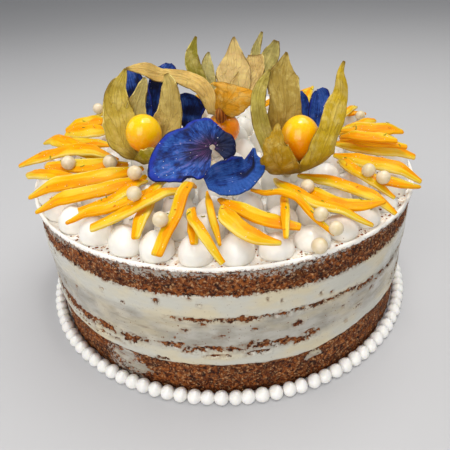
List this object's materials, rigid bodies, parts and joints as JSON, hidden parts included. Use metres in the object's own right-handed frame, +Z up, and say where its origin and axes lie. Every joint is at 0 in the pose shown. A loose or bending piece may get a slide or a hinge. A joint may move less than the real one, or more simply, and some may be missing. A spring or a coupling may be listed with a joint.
{
  "type": "naked layer cake",
  "caption": "Round naked layer cake with cream fillings, piped kisses, strips of candied peel, ground cherries in their husks, blue petals and a beaded foot.",
  "frame": {"origin": "centre of the cake's foot, on the surface that it stands on", "axes": "+Z up, -Y towards the side that the picture shows, +X to the right seen from there"},
  "size_m": [0.2144, 0.2123, 0.1335],
  "materials": {
    "sponge": "dark brown crumb",
    "filling": "soft cream",
    "cream": "whipped cream, soft sheen",
    "bead": "piped cream beads",
    "peel": "candied, wet sheen",
    "berry": "smooth glossy skin",
    "husk": "dry papery olive",
    "tan_husk": "dry papery tan",
    "petal": "velvety blue"
  },
  "bodies": {
    "root": {"bead_border": "bead", "berry_left": "berry", "berry_middle": "berry", "berry_right": "berry", "filling_lower": "filling", "filling_upper": "filling", "husk_left": "husk", "husk_middle": "tan_husk", "husk_right": "husk", "peel_01": "peel", "peel_02": "peel", "peel_03": "peel", "peel_04": "peel", "peel_05": "peel", "peel_06": "peel", "peel_07": "peel", "peel_08": "peel", "peel_09": "peel", "peel_10": "peel", "peel_11": "peel", "peel_12": "peel", "peel_13": "peel", "peel_14": "peel", "peel_15": "peel", "peel_16": "peel", "peel_17": "peel", "peel_18": "peel", "peel_19": "peel", "peel_20": "peel", "peel_21": "peel", "peel_22": "peel", "peel_23": "peel", "peel_24": "peel", "peel_25": "peel", "peel_26": "peel", "peel_27": "peel", "peel_28": "peel", "peel_29": "peel", "peel_30": "peel", "peel_31": "peel", "peel_32": "peel", "peel_33": "peel", "peel_34": "peel", "peel_35": "peel", "peel_36": "peel", "peel_37": "peel", "peel_38": "peel", "peel_39": "peel", "peel_40": "peel", "petal_back_left": "petal", "petal_back_middle": "petal", "petal_back_tall": "petal", "petal_cup": "petal", "petal_large": "petal", "petal_side_high": "petal", "petal_side_low": "petal", "sponge_bottom": "sponge", "sponge_middle": "sponge", "sponge_top": "sponge", "top_cream": "cream"}
  },
  "joints": []
}
